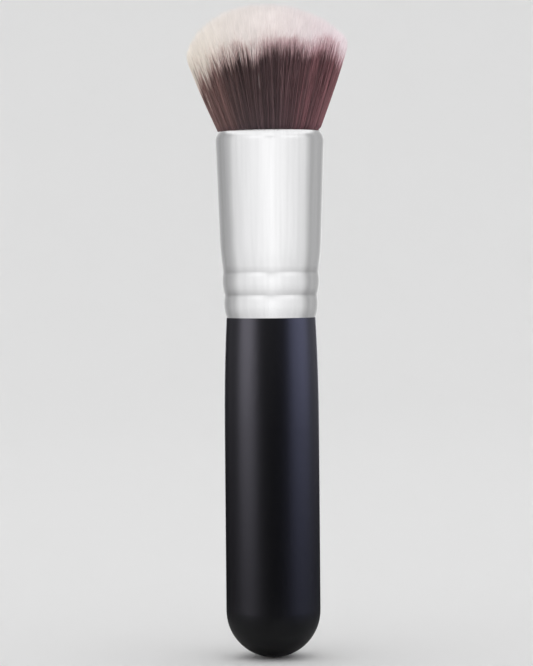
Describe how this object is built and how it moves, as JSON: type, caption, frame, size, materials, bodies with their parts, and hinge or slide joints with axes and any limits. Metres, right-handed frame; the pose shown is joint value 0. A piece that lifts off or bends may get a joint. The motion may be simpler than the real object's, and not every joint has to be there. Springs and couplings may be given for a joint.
{
  "type": "kabuki makeup brush",
  "caption": "Long-handled kabuki face brush: round-ended black handle, tapered silver ferrule with rolled crimps, flared and domed two-tone fibre tuft.",
  "frame": {"origin": "lowest point of the round butt, on the axis of the handle", "axes": "+Z along the axis of the handle towards the fibres, the tuft leans a little towards -X"},
  "size_m": [0.033, 0.033, 0.134],
  "materials": {
    "handle_lacquer": "satin black lacquer over turned wood",
    "ferrule_metal": "satin, drawn and rolled",
    "tuft_fibre": "soft synthetic fibre, dark with pale tips",
    "epoxy": "cast clear amber epoxy",
    "adhesive": "set wood adhesive"
  },
  "bodies": {
    "root": {"handle": "handle_lacquer", "ferrule": "ferrule_metal", "tuft": "tuft_fibre", "root_glue_plug": "epoxy", "tenon_glue": "adhesive"}
  },
  "joints": []
}
